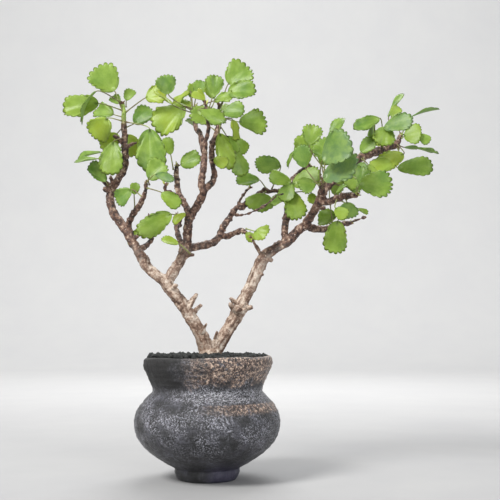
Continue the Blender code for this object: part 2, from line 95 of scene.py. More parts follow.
def make_piece(name, points, faces, surfaces, smooth=True):
    """One object at the origin from points in millimetres. Its faces are turned to look out."""
    mesh = bpy.data.meshes.new(name)
    mesh.from_pydata(np.asarray(points) * MM, [], faces)
    shell = bmesh.new()
    shell.from_mesh(mesh)
    if shell.calc_volume(signed=True) < 0:
        bmesh.ops.reverse_faces(shell, faces=shell.faces)
        shell.to_mesh(mesh)
    shell.free()
    mesh.polygons.foreach_set("use_smooth", np.full(len(mesh.polygons), smooth))
    for surface in surfaces:
        mesh.materials.append(surface)
    obj = bpy.data.objects.new(name, mesh)
    bpy.context.scene.collection.objects.link(obj)
    return obj


def applied(obj):
    """The object with its modifiers made part of its mesh."""
    mesh = bpy.data.meshes.new_from_object(obj.evaluated_get(bpy.context.evaluated_depsgraph_get()))
    obj.modifiers.clear()
    obj.data = mesh
    return obj


def shade(red, green, blue):
    """The linear colour of three screen values from 0 to 255."""
    light = np.array([red, green, blue]) / 255
    return (*np.where(light <= 0.04045, light / 12.92, ((light + 0.055) / 1.055) ** 2.4), 1)


class Finish:
    """A node material in the piece's own coordinates, which are in metres, with a short call for
    each kind of node. A value is a number or another node's output."""

    def __init__(self, name):
        self.material = bpy.data.materials.new(name)
        self.material.use_nodes = True
        self.tree = self.material.node_tree
        self.shader = self.tree.nodes["Principled BSDF"]
        self.place = self.add("ShaderNodeTexCoord").outputs["Object"]
        self.x, self.y, self.z = self.add("ShaderNodeSeparateXYZ", [self.place]).outputs

    def add(self, kind, inputs=(), **settings):
        """A new node with its settings, and its inputs by place or by name."""
        made = self.tree.nodes.new(kind)
        for key, value in settings.items():
            setattr(made, key, value)
        for key, value in enumerate(inputs) if isinstance(inputs, list) else dict(inputs).items():
            if isinstance(value, bpy.types.NodeSocket):
                self.tree.links.new(value, made.inputs[key])
            elif value is not None:
                made.inputs[key].default_value = value
        return made

    def noise(self, size, detail=4.0, rough=0.6, twist=0.0):
        """Cloud noise from 0 to 1 with clouds of about size millimetres."""
        values = {"Vector": self.place, "Scale": 1 / (size * MM), "Detail": detail,
                  "Roughness": rough, "Distortion": twist}
        return self.add("ShaderNodeTexNoise", values).outputs[0]

    def stored(self, name):
        """The number that the mesh keeps at each point under this name."""
        return self.add("ShaderNodeAttribute", attribute_name=name).outputs["Fac"]

    def fade(self, value, low, high):
        """0 where the value is at low, 1 where it is at high, and a smooth step between."""
        return self.add("ShaderNodeMapRange", [value, low, high, 0.0, 1.0],
                        interpolation_type="SMOOTHSTEP").outputs[0]

    def maths(self, operation, first, second):
        """Two values put through one operation."""
        return self.add("ShaderNodeMath", [first, second], operation=operation).outputs[0]

    def times(self, first, second):
        """The product of two values."""
        return self.maths("MULTIPLY", first, second)

    def mix(self, share, first, second):
        """The first colour where the share is 0 and the second where it is 1."""
        return self.add("ShaderNodeMix", {0: share, 6: first, 7: second}, data_type="RGBA").outputs[2]

    def tint(self, colour, mask, strength, *tone):
        """The colour with another, in screen values, laid over it where the mask is 1."""
        return self.mix(self.times(mask, strength), colour, shade(*tone))

    def ramp(self, value, *stops):
        """Colours picked by the value. A stop is its position and the colour's screen values."""
        made = self.add("ShaderNodeValToRGB", [value])
        points = made.color_ramp.elements
        while len(points) < len(stops):
            points.new(0.5)
        for point, (position, *colour) in zip(points, stops):
            point.position = position
            point.color = shade(*colour)
        return made.outputs[0]

    def bump(self, height, depth, under=None):
        """Relief from a height of 0 to 1 that stands for depth in millimetres."""
        values = {"Height": height, "Strength": 1.0, "Distance": depth * MM, "Normal": under}
        return self.add("ShaderNodeBump", values).outputs[0]

    def set(self, **sockets):
        """Fills the shader's own sockets and gives the material."""
        for name, value in sockets.items():
            socket = self.shader.inputs[name.replace("_", " ")]
            if isinstance(value, bpy.types.NodeSocket):
                self.tree.links.new(value, socket)
            else:
                socket.default_value = value
        return self.material


def wall_radius(height, foot, belly, neck, foot_height, powers):
    """Radius of a thrown wall at each height. Up to the belly it is (1 - a^p)^q of the way out from
    the foot, then 1 - b^r of the way out from the neck, then c^s of the way from the neck to the rim,
    where a is the share of the way down, b of the way up, and c of the way up the flare."""
    below = np.clip((BELLY_HEIGHT - height) / (BELLY_HEIGHT - foot_height), 0, 1)
    above = np.clip((height - BELLY_HEIGHT) / (NECK_HEIGHT - BELLY_HEIGHT), 0, 1)
    flare = np.clip((height - NECK_HEIGHT) / (POT_HEIGHT - RIM_BAND - NECK_HEIGHT), 0, 1)
    p, q, r, s = powers
    bowl = foot + (belly - foot) * (1 - below**p) ** q
    shoulder = neck + (belly - neck) * (1 - above**r)
    rim = neck + (RIM_RADIUS - neck) * flare**s
    return np.where(height <= BELLY_HEIGHT, bowl, np.where(height <= NECK_HEIGHT, shoulder, rim))


def pot_radius(height):
    """The plain profile, of power 1.5. The inside is this less the wall."""
    return wall_radius(height, FOOT_RADIUS, BELLY_RADIUS, NECK_RADIUS, FOOT_HEIGHT, (1.5, 1 / 1.5, 1.5, 1))


def turned_radius(height):
    """The outside as it was turned, with rounder powers. Corners are a mean over TURNED_CORNER to
    each side, less at the foot."""
    corner = TURNED_CORNER * np.clip((height - 7) / 5, 0.2, 1)
    height = height + corner * np.linspace(-1, 1, 9)[:, None]
    return wall_radius(height, TURNED_WAIST, TURNED_BELLY, TURNED_NECK, WAIST_HEIGHT,
                       (2.25, 1, 2.1, 1.15)).mean(0)


def thrown_pot():
    """The profile turned once about Z, each ring a little out of round, with faint throwing lines,
    a groove above the shoulder and a lip that dips to the left."""
    lip = WALL / 2
    band = POT_HEIGHT - lip
    rise = np.concatenate([np.linspace(FOOT_HEIGHT, DENSE_HEIGHT, 16),
                           np.linspace(DENSE_HEIGHT, band, 84)[1:]])
    arc = np.linspace(0, np.pi, 11)[1:-1]
    fall = np.linspace(band, FLOOR + lip, 34)
    foot_radius, foot_height = zip(*FOOT_LINE)
    radius = np.concatenate([foot_radius, turned_radius(rise), RIM_RADIUS - lip + lip * np.cos(arc),
                             pot_radius(fall) - WALL, [pot_radius(FLOOR + lip) - WALL - lip, 14, 5]])
    height = np.concatenate([foot_height, rise, band + lip * np.sin(arc), fall, [FLOOR] * 3])
    outside = (np.arange(len(height)) < len(FOOT_LINE) + len(rise))[:, None]
    turn = angles(POT_TURNS)
    r, z = radius[:, None], height[:, None]
    top = np.clip((z - 50) / 24, 0, 1)
    groove = np.exp(-((z - GROOVE_HEIGHT - 0.9 * np.cos(turn)) / 0.8) ** 2)
    lines = np.sin(z * 2.0 + 0.7 * np.sin(turn))
    round_off = 0.3 * np.sin(2 * turn + 0.8) + 0.25 * top * np.sin(3 * turn + 2)
    r = r + (r > 19) * round_off + outside * (0.09 * lines - 0.5 * groove) * (z > FOOT_HEIGHT)
    z = z - top * (0.5 - 0.5 * np.cos(turn)) + 0.22 * top * np.sin(5 * turn + 1)
    grid = np.stack([r * np.cos(turn), r * np.sin(turn), np.broadcast_to(z, r.shape)], -1)
    rough = 0.16 * waves(grid, 6, 1) + 0.08 * waves(grid, 1.6, 2)
    push = rough * outside * np.clip(z - 0.5, 0, 1)
    grid[..., 0] += push * np.cos(turn)
    grid[..., 1] += push * np.sin(turn)
    return grid_skin(grid)


def stoneware_finish():
    """Near-black clay with silvery specks in patches, partly painted glints, and a painted highlight of
    brighter, closer specks round the right of the neck; rust on the rim and the right of the shoulder;
    and painted shade, with few specks, on the neck and rim at the left."""
    clay = Finish("dark_stoneware")
    colour = clay.ramp(clay.noise(9, 7, 0.7), (0.36, 30, 30, 31), (0.5, 50, 50, 53), (0.64, 84, 84, 92))
    grain = clay.noise(1.0, 6, 0.9)
    patches = clay.times(clay.fade(clay.noise(12, 5), 0.38, 0.62), clay.fade(clay.z, 0.004, 0.03))
    edge = clay.times(clay.noise(9, 5, 0.7), 0.03)
    across = clay.maths("ADD", edge, clay.x)
    right = clay.fade(across, 0.000, 0.018)
    # shadow: painted shade over the neck and rim at the left, which darkens the clay, takes away its
    # specks and makes it rougher.
    shadow = clay.times(clay.fade(clay.z, 0.050, 0.060), clay.fade(across, 0.012, -0.004))
    colour = clay.tint(colour, shadow, 0.9, 28, 27, 26)
    # neck: a painted highlight, a band of brighter and closer specks round the right of the neck.
    neck = clay.times(clay.fade(clay.z, 0.046, 0.050), clay.fade(clay.z, 0.058, 0.053))
    neck = clay.times(neck, clay.fade(across, -0.012, 0.022))
    neck = clay.times(neck, 0.75)
    # Where the silvery specks show: in patches, where they are partly painted glints, and in the painted
    # highlight on the neck.
    speck_patches_and_painted_highlight = clay.maths("MAXIMUM", clay.times(patches, 0.85), neck)
    speck_patches_and_painted_highlight = clay.times(speck_patches_and_painted_highlight, clay.maths("SUBTRACT", 1.0, shadow))
    specks_and_painted_glints = clay.times(clay.fade(grain, 0.535, 0.57), speck_patches_and_painted_highlight)
    specks_and_painted_glints = clay.maths("MAXIMUM", specks_and_painted_glints, clay.times(clay.fade(grain, 0.5, 0.56), neck))
    colour = clay.mix(specks_and_painted_glints, colour, clay.mix(neck, shade(205, 205, 216), shade(235, 235, 242)))
    # Dark pits where the grain sinks: partly dark flecks of the clay, partly painted shade in the pits of
    # the relief.
    colour = clay.mix(clay.fade(grain, 0.48, 0.43), colour, shade(18, 18, 19))
    rim = clay.times(clay.fade(clay.maths("ADD", clay.z, edge), 0.0715, 0.0765), right)
    low = clay.times(clay.fade(clay.z, 0.0405, 0.0435), clay.fade(clay.z, 0.0475, 0.0465))
    shoulder = clay.times(low, clay.fade(across, 0.008, 0.04))
    rust = clay.times(clay.maths("MAXIMUM", rim, shoulder), clay.fade(clay.noise(2.2, 6, 0.8), 0.4, 0.5))
    iron = clay.ramp(clay.noise(1.5, 5, 0.85), (0.44, 32, 28, 28), (0.50, 98, 80, 74),
                     (0.54, 152, 128, 112), (0.60, 228, 204, 182))
    colour = clay.mix(rust, colour, iron)
    violet = clay.times(clay.fade(clay.z, 0.016, 0.004), clay.fade(clay.x, -0.004, 0.008))
    colour = clay.tint(colour, violet, 0.55, 62, 58, 84)
    relief = clay.bump(clay.noise(3.5, 6, 0.7), 0.4)
    relief = clay.bump(grain, 0.5, relief)
    sheen = clay.add("ShaderNodeMapRange", [clay.noise(13, 4), 0.35, 0.7, 0.28, 0.46]).outputs[0]
    sheen = clay.maths("ADD", sheen, clay.times(shadow, 0.3))
    return clay.set(Base_Color=colour, Roughness=sheen, Normal=relief)


pot = make_piece("stoneware_pot", *thrown_pot(), [stoneware_finish()])
for hole in range(3):
    turn = angles(32)
    centre = np.radians(90 + 120 * hole)
    ring = np.stack([DRAIN_CIRCLE * np.cos(centre) + DRAIN_RADIUS * np.cos(turn),
                     DRAIN_CIRCLE * np.sin(centre) + DRAIN_RADIUS * np.sin(turn), 0 * turn], -1)
    drill = make_piece("drill", *grid_skin(np.stack([ring + (0, 0, h) for h in (-4, 14)])), [])
    bore = pot.modifiers.new("drain", "BOOLEAN")
    bore.solver = "EXACT"
    bore.object = drill
    pot = applied(pot)
    bpy.data.objects.remove(drill)
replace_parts(pot, "pot")
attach(pot, "root")


# ----------------------------------------
# The drain mesh: a disc cut from moulded plastic net. It lies loose on the floor of the pot, over
# the holes, and keeps the soil in.
NET_PITCH, NET_CORD = 2.4, 0.4
CROSS_LIFT = 0.0002  # share of its height by which a crossing bar is raised, so no faces coincide


def joined(skins):
    """Several skins as one: the corners of each are counted on from the points before it."""
    points, faces, total = [], [], 0
    for skin, sides in skins:
        faces += [[corner + total for corner in side] for side in sides]
        points.append(skin)
        total += len(skin)
    return np.vstack(points), faces


def drain_net():
    """Square cells across the disc: crossing bars whose height is that of the mesh node."""
    low, high = (np.array(corner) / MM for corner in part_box("drain_mesh"))
    radius = (high[0] - low[0]) / 2
    half = (high[2] - low[2]) / 2
    cross = np.array([[-1, -1], [1, -1], [1, 1], [-1, 1]]) * (NET_CORD, half - 0.05)
    lines = np.arange(-radius + NET_PITCH / 2, radius, NET_PITCH)
    bars = []
    for turned in (0, 1):
        for at in lines:
            reach = np.sqrt(radius**2 - at**2)
            run = np.array([-reach, reach])[:, None]
            bar = np.stack([np.broadcast_to(run, (2, 4)), at + np.broadcast_to(cross[:, 0], (2, 4)),
                            low[2] + half + np.broadcast_to(cross[:, 1], (2, 4))], -1)
            bar = bar[..., [1, 0, 2]] if turned else bar
            bar[..., 2] *= 1 + CROSS_LIFT * turned
            bars.append(grid_skin(bar))
    return joined(bars)


def plastic_finish():
    """Dark grey plastic, slightly mottled."""
    plastic = Finish("mesh_plastic")
    colour = plastic.ramp(plastic.noise(1.2), (0.3, 28, 30, 30), (0.7, 52, 54, 54))
    return plastic.set(Base_Color=colour, Roughness=0.55, Normal=plastic.bump(plastic.noise(0.4), 0.05))


net = make_piece("drain_net", *drain_net(), [plastic_finish()], smooth=False)
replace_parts(net, "drain_mesh")
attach(net, "root")


# ----------------------------------------
# The soil: a gritty potting mix that fills the pot up to the gravel. Only its underside can be
# seen, through the net and the drain holes.
def soil_finish():
    """Brown crumbs, lighter on top and darker in the gaps between them, where the dark is painted shade.
    """
    soil = Finish("potting_soil")
    crumb = soil.noise(1.6, 6, 0.75)
    # The colour follows the crumbs' relief: painted shade in the gaps between them.
    colour = soil.ramp(crumb, (0.3, 38, 28, 22), (0.5, 74, 56, 42), (0.7, 128, 104, 78))
    return soil.set(Base_Color=colour, Roughness=0.95, Normal=soil.bump(crumb, 0.8))


NODES["soil"].data.materials.clear()
NODES["soil"].data.materials.append(soil_finish())


# ----------------------------------------
# The top dressing: black lava gravel poured over the soil and heaped a little above the rim. A
# bed carries over a thousand broken grains, and it leaves a hole for the trunk.
COLLAR = np.array([1.5, 0])  # where the trunk leaves the gravel
COLLAR_RADIUS = 7.2
BED_SIDES, BED_RINGS = 96, 26
BED_GAP = 0.6  # to the pot's wall
GRAINS = 1250
GRAIN_SIZE = (0.6, 1.9)  # half widths


def gravel_bed():
    """Rings that slide from the trunk's hole out to the wall, with a bumpy top and a flat base."""
    low, high = (np.array(corner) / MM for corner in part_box("gravel_layer"))
    wall = pot_radius(low[2]) - WALL - BED_GAP
    top_wall = pot_radius(high[2] - 1.5) - WALL - BED_GAP
    turn = angles(BED_SIDES)
    circle = np.stack([np.cos(turn), np.sin(turn)], -1)
    share = np.concatenate([[0], np.linspace(0, 1, BED_RINGS), [1]])[:, None, None]
    hole = COLLAR + (COLLAR_RADIUS + 0.4) * circle
    reach = np.where(np.arange(BED_RINGS + 2) <= BED_RINGS, top_wall, wall)[:, None, None]
    flat = hole * (1 - share) + reach * circle * share
    height = np.broadcast_to(high[2] - 0.7 * share[..., 0] ** 2 - 0.3, flat.shape[:2]).copy()
    grid = np.dstack([flat, height])
    grid[1:-1, :, 2] += 0.3 * waves(grid[1:-1], 2.5, 3)
    grid[[0, -1], :, 2] = low[2]
    rings = len(grid)
    i, j = np.meshgrid(np.arange(rings), np.arange(BED_SIDES), indexing="ij")
    ahead, after = (i + 1) % rings, (j + 1) % BED_SIDES
    faces = np.stack([i * BED_SIDES + j, i * BED_SIDES + after,
                      ahead * BED_SIDES + after, ahead * BED_SIDES + j], -1)
    return grid.reshape(-1, 3), faces.reshape(-1, 4).tolist()


def scattered_grains():
    """Twenty-sided grains: each corner moved in or out, the grain stretched, turned and dropped."""
    draw = np.random.default_rng(7)
    ball = bmesh.new()
    bmesh.ops.create_icosphere(ball, subdivisions=1, radius=1)
    corners = np.array([v.co for v in ball.verts])
    sides = np.array([[v.index for v in face.verts] for face in ball.faces])
    ball.free()
    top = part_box("gravel_layer")[1][2] / MM
    outer = pot_radius(top) - WALL / 2 - BED_GAP
    radius = np.sqrt(draw.uniform((COLLAR_RADIUS + 1.6) ** 2, outer**2, GRAINS))
    turn = draw.uniform(0, 2 * np.pi, GRAINS)
    size = draw.uniform(*GRAIN_SIZE, GRAINS)
    share = radius / outer
    place = np.stack([radius * np.cos(turn) + COLLAR[0] * (1 - share), radius * np.sin(turn),
                      top + 0.1 - 0.2 * share**2 + draw.uniform(-0.4, 1.0, GRAINS)], -1)
    shapes = corners * draw.uniform(0.72, 1.15, (GRAINS, len(corners), 1))
    shapes *= draw.uniform(0.65, 1.2, (GRAINS, 1, 3))
    spin, _ = np.linalg.qr(draw.normal(size=(GRAINS, 3, 3)))
    shapes = np.einsum("gcx,gxy->gcy", shapes, spin) * size[:, None, None]
    flipped = np.linalg.det(spin) < 0
    faces = np.where(flipped[:, None, None], sides[None, :, ::-1], sides[None])
    faces = faces + len(corners) * np.arange(GRAINS)[:, None, None]
    return (shapes + place[:, None]).reshape(-1, 3), faces.reshape(-1, 3).tolist()


def gravel_finish():
    """Charcoal stone whose tone changes from grain to grain, with darker pores where its relief sinks,
    partly dark stone and partly painted shade.
    """
    lava = Finish("black_gravel")
    pores = lava.noise(0.5, 4, 0.75)
    tone = lava.ramp(lava.noise(2.6, 3), (0.35, 24, 25, 25), (0.55, 44, 46, 45), (0.72, 78, 80, 76))
    # Darker pores where the relief sinks: partly dark stone, partly painted shade in the pits.
    return lava.set(Base_Color=lava.mix(lava.fade(pores, 0.45, 0.3), tone, shade(14, 14, 14)),
                    Roughness=0.88, Normal=lava.bump(pores, 0.35))


gravel = make_piece("lava_gravel", *joined([gravel_bed(), scattered_grains()]), [gravel_finish()],
                    smooth=False)
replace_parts(gravel, "gravel_layer")
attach(gravel, "root")


# ----------------------------------------
# The wood: the plant's trunks, limbs and twigs, grown as one piece. Old bark near the gravel is
# pale, tight and wrinkled; higher up it is red-brown and knobbly with the scars of fallen leaves,
# and the newest shoot is still green.
COLLAR_Z = 74
VOXEL = 0.51
OLD_BARK, YOUNG_BARK = 35, 80  # heights above the collar between which the bark changes
KNOBS = 800
KNOB_REACH, KNOB_HEIGHT = (0.8, 1.9), (0.15, 0.7)
KNOB_FULL = 0.8  # height that the bark's colours take as a whole knob
WAY_ROUNDS = 50


def merged_mesh(node):
    """The node's loose triangles joined at their corners, as points in millimetres and faces."""
    mesh = NODES[node].data
    corners = np.empty(len(mesh.vertices) * 3)
    mesh.vertices.foreach_get("co", corners)
    points, index = np.unique(np.round(corners.reshape(-1, 3) / MM, 3), axis=0, return_inverse=True)
    mesh.calc_loop_triangles()
    triangles = np.empty(len(mesh.loop_triangles) * 3, int)
    mesh.loop_triangles.foreach_get("vertices", triangles)
    return points, index.reshape(-1)[triangles].reshape(-1, 3)


def mesh_arrays(mesh):
    """Points in millimetres and unit normals of a mesh."""
    points, normals = np.empty((2, len(mesh.vertices) * 3))
    mesh.vertices.foreach_get("co", points)
    mesh.vertex_normals.foreach_get("vector", normals)
    return points.reshape(-1, 3) / MM, normals.reshape(-1, 3)


def branch_way(mesh, normals):
    """Direction of the branch at each point: the one most square to the normals around it, which
    are spread from neighbour to neighbour WAY_ROUNDS times."""
    ends = np.empty(len(mesh.edges) * 2, int)
    mesh.edges.foreach_get("vertices", ends)
    start, end = ends.reshape(-1, 2).T
    count = len(normals)
    share = 1 + np.bincount(start, minlength=count) + np.bincount(end, minlength=count)
    tensor = (normals[:, :, None] * normals[:, None]).reshape(-1, 9).T
    for _ in range(WAY_ROUNDS):
        around = [np.bincount(start, row[end], count) + np.bincount(end, row[start], count)
                  for row in tensor]
        tensor = (tensor + np.stack(around)) / share
    return np.linalg.eigh(tensor.T.reshape(-1, 3, 3))[1][:, :, 0]


def streaks(points, way, size, reach, seed, count=160):
    """waves() averaged over the reach to both sides along the way: each sine keeps sin(a) / a of its
    height, where a is its phase over the reach. Scaled to a spread of 1."""
    draw = np.random.default_rng(seed)
    wave = draw.normal(size=(3, count))
    wave *= 2 * np.pi / size / draw.uniform(0.7, 1.5, count) / np.linalg.norm(wave, axis=0)
    kept = np.sinc((way @ wave) * reach / np.pi)
    total = (kept * np.sin(points @ wave + draw.uniform(0, 6.28, count))).sum(1)
    return total / total.std()


def grown_bark(wood):
    """Moves the skin along its normals: lengthwise wrinkles on old wood, rings and round knobs on
    young wood. A knob of height h and radius R lifts a point at distance d by h (1 - d^2 / R^2)^2."""
    points, normals = mesh_arrays(wood.data)
    youth = np.clip((points[:, 2] - COLLAR_Z - OLD_BARK) / (YOUNG_BARK - OLD_BARK), 0, 1)
    way = branch_way(wood.data, normals)
    streak = streaks(points, way, 2.2, 5, 11)
    ring = streaks(points, np.cross(way, normals), 2.0, 2.5, 14)
    draw = np.random.default_rng(5)
    above = points[:, 2] > COLLAR_Z - 1
    chance = np.where(above, 0.12 + 0.88 * youth, 0)
    centres = draw.choice(len(points), KNOBS, replace=False, p=chance / chance.sum())
    knobs = np.zeros(len(points))
    for centre in points[centres]:
        reach = draw.uniform(*KNOB_REACH)
        height = draw.uniform(*KNOB_HEIGHT)
        near = np.clip(1 - ((points - centre) ** 2).sum(1) / reach**2, 0, 1)
        knobs = np.maximum(knobs, height * near**2)
    lift = (0.2 - 0.12 * youth) * streak + (0.05 - 0.01 * youth) * ring + 0.22 * waves(points, 5, 12)
    points += normals * (lift + knobs * (0.5 + 0.5 * youth) + 0.06)[:, None]
    wood.data.vertices.foreach_set("co", (points * MM).ravel())
    for name, values in (("knob", knobs / KNOB_FULL), ("streak", streak), ("ring", ring)):
        layer = wood.data.attributes.new(name, "FLOAT", "POINT")
        layer.data.foreach_set("value", values.astype(np.float32))
    wood.data.update()


def bark_finish():
    """Pale mottled bark with dark streaks and rings low down, red-brown bark with light flecks and
    dark knobs above it, whose rings are a little lighter on the ridges and darker in the grooves as
    painted light and shade, and green on the highest shoot at the left."""
    bark = Finish("bark")
    height = bark.times(bark.noise(14, 4), 0.03)
    height = bark.maths("ADD", height, bark.z)
    knob, streak, ring = bark.stored("knob"), bark.stored("streak"), bark.stored("ring")
    mottle = bark.maths("ADD", bark.noise(5, 7, 0.72), bark.times(streak, -0.035))
    old = bark.ramp(mottle, (0.36, 76, 56, 45), (0.45, 128, 103, 86),
                    (0.53, 176, 156, 139), (0.66, 218, 205, 190))
    old = bark.tint(old, bark.fade(streak, 0.9, 2.0), 0.7, 96, 70, 54)
    old = bark.tint(old, bark.fade(ring, 1.5, 2.3), 0.6, 78, 56, 46)
    old = bark.tint(old, bark.fade(bark.noise(1.5, 4, 0.7), 0.55, 0.62), 0.6, 104, 74, 58)
    base = bark.times(bark.fade(height, 0.115, 0.095), bark.fade(bark.x, 0.003, -0.003))
    old = bark.tint(old, base, 0.55, 112, 84, 64)
    # Young bark tone: random mottling, with painted light on the ridges of its rings and painted shade in
    # their grooves.
    young_mottle_and_ring_shade = bark.maths("ADD", bark.noise(3.4, 7, 0.7), bark.times(ring, 0.018))
    young = bark.ramp(young_mottle_and_ring_shade, (0.38, 31, 21, 19), (0.47, 72, 49, 40),
                      (0.57, 122, 92, 76), (0.67, 194, 174, 152))
    colour = bark.mix(bark.fade(height, 0.135, 0.162), old, young)
    rim = bark.times(bark.fade(knob, 0.25, 0.8), bark.fade(bark.noise(1.4), 0.4, 0.6))
    colour = bark.tint(colour, rim, 0.8, 58, 36, 32)
    fleck = bark.fade(bark.noise(1.0, 2, 0.5), 0.66, 0.7)
    colour = bark.tint(colour, fleck, 0.7, 226, 208, 190)
    shoot = bark.times(bark.fade(bark.maths("ADD", bark.z, height), 0.455, 0.475),
                       bark.fade(bark.x, -0.050, -0.051))
    green = bark.ramp(bark.noise(2), (0.3, 120, 150, 62), (0.7, 168, 190, 96))
    colour = bark.mix(shoot, colour, green)
    relief = bark.bump(bark.noise(2.4, 7, 0.75, 0.5), 0.5)
    relief = bark.bump(bark.noise(0.9, 3, 0.7), 0.2, relief)
    return bark.set(Base_Color=colour, Roughness=0.6, Normal=relief)


# Dead stubs and knots, and last the thick part of the low limb: foot from the collar, way, thickness.
STUBS = [
    ((-10.7, -4, 32), (4.2, -2, 6.5), 1.7), ((-2.5, -8, 15), (2.3, -2, 5.5), 1.1),
    ((5, -9, 12), (1.2, -1, 3.5), 0.9), ((-20, -9, 42.5), (0.8, -2, 0.5), 1.6),
    ((-64, 6, 104.5), (-3, -2, 0.4), 1.9), ((-61.5, 6, 110), (-1, -2, 3.6), 1.2),
    ((-20.5, 20, 86), (-1.5, -2, 2.4), 1.8), ((-20.5, 20, 87), (3, -3, 1.6), 1.7),
    ((-20.5, 20, 84.5), (1.9, -3, -1.7), 1.5),
    ((-36.8, -6, 59.5), (-0.5, -3, 1.8), 1.2), ((15.2, -4, 29.5), (-1.6, -3, 3.6), 1.5),
    ((21, -4, 27.5), (3, -2, 1.8), 1.6), ((18.4, -4, 28.8), (0.6, -3.4, -0.4), 2.2),
    ((17.6, -2, 28), (-2.6, 1.5, 1.2), 1.8), ((6, 1, 133), (-2.5, -2, 1), 1.1),
    ((-3, -12, 122), (2.5, -2.5, 1), 1.2), ((70, -4, 92), (3, -2, -1), 1.4),
    ((21.4, 25, 97.5), (9.2, 3.5, 6.8), 1.8), ((28.6, 28, 102.9), (8, 3, 4.8), 1.7),
    ((35.3, 30.5, 107.7), (7, 3, 1.2), 1.4),
]


def with_stubs(points, faces):
    """The stem's skin and a cone for each stub. The voxels of the remesh join them."""
    turn = angles(10)[None, :, None]
    skins = [(points, faces)]
    for foot, way, thick in STUBS:
        way = np.array(way)
        across = np.cross(way, (0.3, 1, 0.2))
        across /= np.linalg.norm(across)
        other = np.cross(way / np.linalg.norm(way), across)
        share = np.array([-0.3, 0.4, 0.8, 1])[:, None, None]
        radius = thick * np.array([1.2, 0.95, 0.8, 0.45])[:, None, None]
        middle = np.array(foot) + (0, 0, COLLAR_Z) + share * way
        skins.append(grid_skin(middle + radius * (np.cos(turn) * across + np.sin(turn) * other)))
    return joined(skins)


stem_points, stem_faces = merged_mesh("stem")
wood = make_piece("wood", *with_stubs(stem_points, stem_faces.tolist()), [bark_finish()])
skin = wood.modifiers.new("skin", "REMESH")
skin.mode = "VOXEL"
skin.voxel_size = VOXEL * MM
skin.use_smooth_shade = True
soften = wood.modifiers.new("soften", "SMOOTH")
soften.iterations = 5
wood = applied(wood)
grown_bark(wood)
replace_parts(wood, "stem")
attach(wood, "root")
BARK_SKIN = BVHTree.FromPolygons(stem_points.tolist(), stem_faces.tolist())


# ----------------------------------------
# The leaves: fleshy fans on thin stalks, folded a little along the midrib, with round teeth round
# the outer edge and veins that spread from the stalk. Each grows from the bark by its stalk.
LEAF_THICKNESS = 0.62
LEAF_DROOP = 0.12
LEAF_GROWTH = 1.06  # the real blade against the plain one of the nodes
EDGE_SAMPLES = 7  # points to one tooth
SIDE_SAMPLES = 8  # points to each smooth side of the wedge
ARCS = 9
SMOOTH_SIDE = 0.17  # share of the edge, at each end, that has no teeth
TOOTH_PITCH = 2.2  # width of blade to one tooth on each half
TOOTH_DEPTH = 0.073  # share of the blade
STALK_SHARES = (0, 0.4, 0.75, 1)  # where a stalk's four points lie along it


def blade_edge(width, length, teeth, draw):
    """Edge of a flat blade from the stalk round the tip and back: x across, y along. Half the width
    at share u is w u^0.45 sqrt(1 - u^4) / 1.49. Between two notches, which have random spacing, the
    edge rises as a sine to the power 0.7. Returns the smooth edge, the toothed edge and the veins."""
    u = np.sin(np.linspace(0, np.pi / 2, 300))
    half = width / 1.49 * u**0.45 * np.sqrt(1 - u**4)
    x = np.concatenate([-half, half[-2::-1]])
    y = length * np.concatenate([u, u[-2::-1]])
    run = np.concatenate([[0], np.cumsum(np.hypot(np.diff(x), np.diff(y)))])
    spans = draw.uniform(0.75, 1.25, teeth)
    knots = SMOOTH_SIDE + (1 - 2 * SMOOTH_SIDE) * np.concatenate([[0], np.cumsum(spans)]) / spans.sum()
    phase = np.arange(teeth * EDGE_SAMPLES) / EDGE_SAMPLES
    side = np.linspace(0, SMOOTH_SIDE, SIDE_SAMPLES, endpoint=False)
    share = np.concatenate([side, np.interp(phase, np.arange(teeth + 1), knots), [1 - SMOOTH_SIDE],
                            1 - side[::-1]])
    notch = np.zeros(len(share))
    notch[SIDE_SAMPLES:SIDE_SAMPLES + len(phase)] = 1 - np.abs(np.sin(np.pi * phase)) ** 0.7
    notch[SIDE_SAMPLES + len(phase)] = 1
    smooth = np.stack([np.interp(share * run[-1], run, x), np.interp(share * run[-1], run, y)], -1)
    way = np.gradient(smooth, axis=0)
    inward = np.stack([way[:, 1], -way[:, 0]], -1) / np.linalg.norm(way, axis=1)[:, None]
    depth = TOOTH_DEPTH * min(width, length) * draw.uniform(0.7, 1.3)
    vein = np.zeros(len(share))
    middle = np.abs(np.sin(np.pi * phase / 2 + np.pi / 2 * (teeth % 4 == 3)))
    vein[SIDE_SAMPLES:SIDE_SAMPLES + len(phase)] = middle**14
    return smooth, smooth + inward * (depth * notch)[:, None], vein


